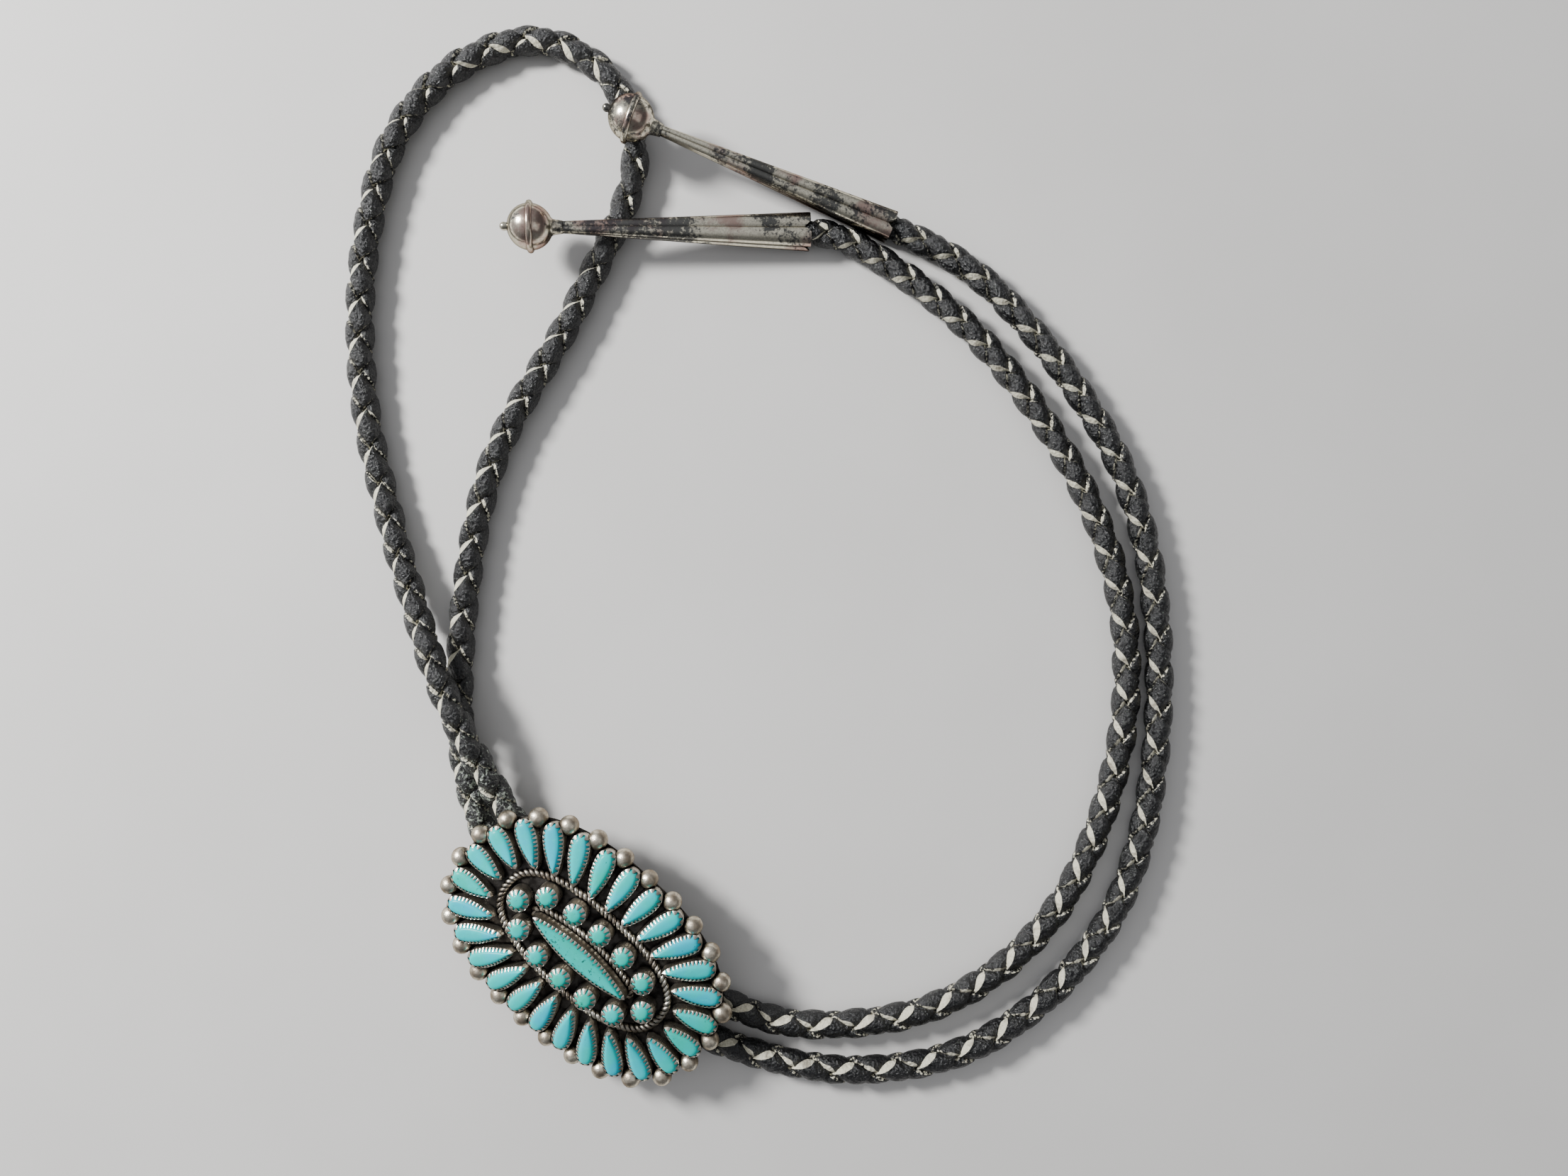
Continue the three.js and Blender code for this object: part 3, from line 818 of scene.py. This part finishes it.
corners = pointed_corners()
stations = stations_round(corners, even_count(corners))
centre_stone = domed_stone("centre_turquoise", stations, CENTRE_CUP_TOP, CENTRE_STONE_TOP)
centre_cup = serrated_cup("centre_cup", stations, CENTRE_CUP_TOP)
centre_place = slide_place @ Matrix.Translation(on_plate(Vector((0, 0))))
lay_stone(centre_stone, centre_cup, centre_place, "centre_stone", speckled_turquoise)

# ---------------------------------------------------------------- Twisted wires
# Pairs of thin silver wires, each twisted together and soldered on the plate: one pair round the
# oval between the petals and the rounds, and one close round the cup of the middle stone.
OVAL_WIRE = (18.4 * MM, 8.3 * MM)
TWIST_TURN = 1.95 * MM
STRAND_RADIUS = 0.38 * MM
TWIST_RADIUS = 0.41 * MM
TWIST_LIFT = 0.3 * MM  # of its middle, from the plate
TWIST_FROM_CUP = 0.45 * MM
SAMPLES_A_TWIST = 8
wire_silver = oxidised_silver(
    "wire_silver", (0.78, 0.75, 0.66, 1), (0.008, 0.007, 0.007, 1), (0.20, 0.17, 0.14, 1), 0.3,
    crevice=0.4 * MM, patch_scale=160.0
)


def twisted_wire(name, outline):
    """Two strands that wind round each other along a closed outline on the plate."""
    edges = [on_plate(point) for point in outline]
    length = sum((b - a).length for a, b in zip(edges, edges[1:] + edges[:1]))
    twists = round(length / TWIST_TURN)
    centres = [on_plate(point) for point in even_round(outline, twists * SAMPLES_A_TWIST)]
    curve = bpy.data.curves.new(name, "CURVE")
    curve.dimensions = "3D"
    curve.bevel_depth = STRAND_RADIUS
    curve.bevel_resolution = 1
    for strand in range(2):
        spline = curve.splines.new("POLY")
        spline.points.add(len(centres) - 1)
        spline.use_cyclic_u = True
        for number, centre in enumerate(centres):
            ahead = (centres[(number + 1) % len(centres)] - centres[number - 1]).normalized()
            across = ahead.cross(Vector((0, 0, 1))).normalized()
            angle = 2 * math.pi * number / SAMPLES_A_TWIST + math.pi * strand
            point = centre + Vector((0, 0, TWIST_LIFT))
            point += TWIST_RADIUS * (across * math.cos(angle) + ahead.cross(across) * math.sin(angle))
            spline.points[number].co = (*point, 1)
    wire = bpy.data.objects.new(name, curve)
    bpy.context.scene.collection.objects.link(wire)
    edit_only(wire)
    bpy.ops.object.convert(target="MESH")
    wire = bpy.context.active_object
    set_down(wire, slide_place, 60)
    wire.data.materials.append(wire_silver)
    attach(wire, "root")


steps = 180
twisted_wire(
    "oval_twisted_wire",
    [oval_corner(2 * math.pi * step / steps, *OVAL_WIRE) for step in range(steps)],
)
twisted_wire(
    "centre_twisted_wire",
    [station.edge + station.out * (CUP_REACH + TWIST_FROM_CUP) for station in stations],
)

# ---------------------------------------------------------------- Rim balls
# Solid silver balls melted from scrap, one in each gap between two petals, let a little into the
# plate's edge and soldered there. Their tops are rubbed pale, and each sits in a dark collar.
BALL_RADIUS = 1.8 * MM
ball_silver = oxidised_silver(
    "ball_silver", (0.95, 0.88, 0.72, 1), (0.02, 0.016, 0.014, 1), (0.36, 0.30, 0.23, 1), 0.27,
    crevice=1.1 * MM
)
bpy.ops.object.select_all(action="DESELECT")
bpy.ops.mesh.primitive_uv_sphere_add(segments=24, ring_count=16, radius=BALL_RADIUS)
ball = bpy.context.active_object
ball.name = "rim_ball"
bpy.ops.object.mode_set(mode="EDIT")
bpy.ops.mesh.select_all(action="DESELECT")
shape = bmesh.from_edit_mesh(ball.data)
for vertex in shape.verts:
    vertex.select_set(vertex.co.z < -0.8 * BALL_RADIUS)
shape.select_flush(True)
bmesh.update_edit_mesh(ball.data)
bpy.ops.transform.resize(value=(1.25, 1.25, 0.2), center_override=(0, 0, -0.82 * BALL_RADIUS))
bpy.ops.mesh.select_all(action="SELECT")
bpy.ops.transform.vertex_random(offset=0.03 * MM, seed=3)
bpy.ops.object.mode_set(mode="OBJECT")
for number, spot in enumerate(even_oval(PLATE_HALF_LENGTH, PLATE_HALF_WIDTH, PETALS, 0.5)):
    copied = ball.copy()
    copied.data = ball.data.copy()
    copied.name = f"rim_ball_{number + 1:02d}"
    bpy.context.scene.collection.objects.link(copied)
    size = stone_pick.uniform(0.95, 1.03)
    height = stone_pick.uniform(-0.08, 0.08) * MM
    place = slide_place @ Matrix.Translation(Vector((spot.x, spot.y, height)))
    place = place @ Matrix.Rotation(stone_pick.uniform(0, 6), 4, "Z") @ Matrix.Scale(size, 4)
    set_down(copied, place, 60)
    copied.data.materials.append(ball_silver)
    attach(copied, "root")
bpy.data.objects.remove(ball)

# ---------------------------------------------------------------- Cord clasp
# The hidden clasp behind the slide: one plain block of blackened silver, soldered under the plate,
# with the cord's two runs through it.
clasp_silver = oxidised_silver(
    "clasp_silver", (0.46, 0.44, 0.40, 1), (0.02, 0.02, 0.02, 1), (0.22, 0.20, 0.18, 1), 0.34
)
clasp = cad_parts["cord_clasp"]
clasp.data.materials.clear()
clasp.data.materials.append(clasp_silver)

# ---------------------------------------------------------------- Cord tips
# Each end of the cord goes into a long cone folded from silver sheet in four flutes, with a nicked
# mouth. Its thin end is soldered into a hollow ball of two domed halves with a raised seam, which
# ends in a small bead. Both are tarnished in patches of pale grey, black and a pinkish brown.
TIP_BALL_RADIUS = 4.2 * MM
TIP_SEAM_RADIUS = 4.75 * MM
TIP_SEAM_HALF_WIDTH = 0.6 * MM
TIP_BEAD_RADIUS = 0.8 * MM
TIP_COLLAR_RADIUS = 1.45 * MM
TIP_THIN_RADIUS = 1.15 * MM
TIP_SHAFT_START = 5.4 * MM
TIP_MOUTH = 51.5 * MM
TIP_MOUTH_RADIUS = 3.8 * MM
TIP_SHEET = 0.35 * MM
TIP_FLUTES = 4
TIP_LOBE_OFFSET = 0.45
TIP_FLATNESS = 0.85
TIP_NICK = 1.2 * MM
TIPS = [
    ("upper", (-6.8, 86.5, 10.1), (40.9, 68.7, 3.5), 105),
    ("lower", (-25.4, 67.0, 9.2), (25.8, 67.9, 3.1), 0),
]


def flute_reach(angle):
    """How far out the fluted section goes that way, where 1 is the top of a flute."""
    period = 2 * math.pi / TIP_FLUTES
    from_top = angle % period - period / 2
    side = TIP_LOBE_OFFSET * math.sin(from_top)
    return TIP_LOBE_OFFSET * math.cos(from_top) + math.sqrt((1 - TIP_LOBE_OFFSET) ** 2 - side ** 2)


def flute_ring(radius, height, nick=0.0, points=96):
    """A fluted ring of points. The nick draws it back in the valleys between two flutes."""
    ring = []
    for number in range(points):
        angle = 2 * math.pi * number / points
        reach = flute_reach(angle)
        valley = max(0.0, 1 - (reach - flute_reach(0)) / 0.15)
        ring.append(Vector((
            radius * reach * math.cos(angle),
            height - nick * valley,
            radius * reach * math.sin(angle) * TIP_FLATNESS,
        )))
    return ring


def round_ring(radius, height, points=48):
    """A round ring of points about the tip's own Y axis."""
    turns = [2 * math.pi * number / points for number in range(points)]
    return [Vector((radius * math.cos(turn), height, radius * math.sin(turn))) for turn in turns]


def fluted_cone(name):
    """The cone, open at its mouth, with the sheet's edge and its inside as far as the cord goes in."""
    rings = []
    for step in range(13):
        share = step / 12
        height = TIP_SHAFT_START + share * (TIP_MOUTH - TIP_SHAFT_START)
        radius = TIP_THIN_RADIUS + share * (TIP_MOUTH_RADIUS - TIP_THIN_RADIUS)
        rings.append(flute_ring(radius, height, TIP_NICK * (step == 12)))
    for depth in (0.0, 1.0, 5.0):
        radius = TIP_MOUTH_RADIUS - TIP_SHEET - depth * 0.06 * MM
        rings.append(flute_ring(radius, TIP_MOUTH - depth * MM, TIP_NICK * (depth == 0)))
    return drawn_up(name, rings, cap_start=True, cap_end=True)


def round_profile(radius, middle, latitudes):
    """Pairs of a ring's radius and height, at these latitudes of a ball."""
    angles = [math.radians(latitude) for latitude in latitudes]
    return [(radius * math.cos(angle), middle + radius * math.sin(angle)) for angle in angles]


def seamed_ball(name):
    """The bead, the two halves of the ball, the seam between them, and the collar."""
    seam = math.degrees(math.asin(TIP_SEAM_HALF_WIDTH / TIP_BALL_RADIUS))
    bead_middle = -TIP_BALL_RADIUS - 0.6 * TIP_BEAD_RADIUS
    profile = round_profile(TIP_BEAD_RADIUS, bead_middle, (-86, -60, -30, 0, 30))
    profile += round_profile(TIP_BALL_RADIUS, 0, [-80 + (80 - seam) * step / 9 for step in range(10)])
    for degrees in (-70, -35, 0, 35, 70):
        angle = math.radians(degrees)
        swell = TIP_BALL_RADIUS + (TIP_SEAM_RADIUS - TIP_BALL_RADIUS) * math.cos(angle)
        profile.append((swell, TIP_SEAM_HALF_WIDTH * math.sin(angle)))
    profile += round_profile(TIP_BALL_RADIUS, 0, [seam + (66 - seam) * step / 8 for step in range(9)])
    profile += [
        (TIP_COLLAR_RADIUS, TIP_BALL_RADIUS - 0.05 * MM),
        (TIP_COLLAR_RADIUS - 0.1 * MM, TIP_BALL_RADIUS + 0.4 * MM),
        (TIP_THIN_RADIUS + 0.02 * MM, TIP_SHAFT_START + 0.5 * MM),
        (TIP_THIN_RADIUS * 0.5, TIP_SHAFT_START + 0.7 * MM),
    ]
    rings = [round_ring(radius, height) for radius, height in profile]
    return drawn_up(name, rings, cap_start=True, cap_end=True)


def stained_and_shaded_silver():
    """Old silver: black in its crevices and pale where open, blue-black in blotches, pinkish brown in
    places, and painted dark brown as shade on the sides that face the table and the cord.
    """
    material, tree, shader = new_material("stained_and_shaded_silver")
    open_air = add_node(tree, "AmbientOcclusion", {"Distance": 1.0 * MM}, samples=8).outputs["AO"]
    crackle = noise(tree, 1500.0, 6.0, 0.72)
    blotches = spread(tree, noise(tree, 95.0, 5.0, 0.6), 0.3, 0.7, 0.0, 0.5)
    stained = spread(tree, calculate(tree, "ADD", blotches, crackle), 0.74, 0.88)
    brown = spread(tree, noise(tree, 120.0, 5.0, 0.6), 0.48, 0.62)
    fine = spread(tree, noise(tree, 2600.0, 4.0, 0.7), 0.35, 0.7)
    pale = mix_colour(tree, fine, (0.90, 0.85, 0.68, 1), (0.60, 0.56, 0.45, 1))
    pale = mix_colour(tree, calculate(tree, "MULTIPLY", brown, 0.85), pale, (0.47, 0.31, 0.27, 1))
    black = calculate(tree, "MULTIPLY", stained, 0.88)
    silver = mix_colour(tree, black, pale, (0.05, 0.055, 0.065, 1))
    # Painted shade: a wide occlusion darkens the sides that face the table and the cord to a dark brown.
    unshaded = add_node(tree, "AmbientOcclusion", {"Distance": 14.0 * MM}, samples=8).outputs["AO"]
    unshaded = spread(tree, unshaded, 0.5, 0.85)
    silver = mix_colour(tree, unshaded, (0.11, 0.095, 0.088, 1), silver)
    rubbed = spread(tree, open_air, 0.4, 0.8)
    tree.links.new(
        mix_colour(tree, rubbed, (0.012, 0.011, 0.011, 1), silver), shader.inputs["Base Color"]
    )
    shader.inputs["Metallic"].default_value = 1.0
    shader.inputs["Specular Tint"].default_value = (0.30, 0.28, 0.26, 1)
    dull = spread(tree, stained, 0.0, 1.0, 0.18, 0.27)
    dull = calculate(tree, "ADD", dull, spread(tree, fine, 0.0, 1.0, 0.0, 0.06))
    tree.links.new(dull, shader.inputs["Roughness"])
    sunk = calculate(tree, "MULTIPLY", stained, 0.15)
    worked = calculate(tree, "SUBTRACT", noise(tree, 500.0, 3.0), sunk)
    bump = add_node(tree, "Bump", {"Height": worked, "Strength": 0.22, "Distance": 0.12 * MM})
    tree.links.new(bump.outputs["Normal"], shader.inputs["Normal"])
    return material


tip_silver = stained_and_shaded_silver()
for name, ball_centre, mouth, roll in TIPS:
    ball_centre, mouth = Vector(ball_centre) * MM, Vector(mouth) * MM
    turn = Vector((0, 1, 0)).rotation_difference((mouth - ball_centre).normalized())
    place = Matrix.Translation(ball_centre) @ turn.to_matrix().to_4x4()
    place = place @ Matrix.Rotation(math.radians(roll), 4, "Y")
    cone, tip_ball = fluted_cone(f"{name}_tip_cone"), seamed_ball(f"{name}_tip_ball")
    for piece in (cone, tip_ball):
        set_down(piece, place, 45)
        piece.data.materials.append(tip_silver)
        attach(piece, "root")
    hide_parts(f"cord_tip_{name}")

# ---------------------------------------------------------------- Table and light
# A plain pale table top, and the soft light of a studio: a key light from the upper left, a weak
# fill light from the right, and a room that is brightest on the key light's side.
bpy.ops.object.select_all(action="DESELECT")
bpy.ops.mesh.primitive_plane_add(size=8.0, location=(0, 0, -0.00005))
table = bpy.context.active_object
table.name = "table_top"


def pale_table():
    """A matt pale grey, very slightly cloudy."""
    material, tree, shader = new_material("pale_table")
    faint = spread(tree, noise(tree, 14.0, 4.0), 0.3, 0.7)
    grey = mix_colour(tree, faint, (0.73, 0.715, 0.69, 1), (0.77, 0.755, 0.73, 1))
    tree.links.new(grey, shader.inputs["Base Color"])
    shader.inputs["Roughness"].default_value = 0.75
    return material


table.data.materials.append(pale_table())


def soft_light(name, place, size, power):
    """A square soft light at a place, turned to the middle of the table."""
    light = bpy.data.objects.new(name, bpy.data.lights.new(name, "AREA"))
    bpy.context.scene.collection.objects.link(light)
    light.location = place
    light.rotation_euler = Vector(place).to_track_quat("Z", "Y").to_euler()
    light.data.size = size
    light.data.energy = power


soft_light("key_light", (-0.46, 0.26, 0.40), size=0.13, power=7.7)
soft_light("fill_light", (0.50, -0.10, 0.60), size=0.5, power=0.35)


def pale_room():
    """A room that is bright towards the key light and dim behind it, which gives silver its depth."""
    world = bpy.data.worlds.new("pale_room")
    world.use_nodes = True
    tree = world.node_tree
    way = add_node(tree, "TexCoord", {}).outputs["Generated"]
    towards_light = add_node(
        tree, "VectorMath", {0: way, 1: (-0.62, 0.45, 0.64)}, operation="DOT_PRODUCT"
    ).outputs["Value"]
    brightness = spread(tree, towards_light, 0.0, 0.95, 0.13, 0.62)
    background = tree.nodes["Background"]
    tree.links.new(brightness, background.inputs["Strength"])
    background.inputs["Color"].default_value = (0.93, 0.95, 1.0, 1)
    return world


bpy.context.scene.world = pale_room()
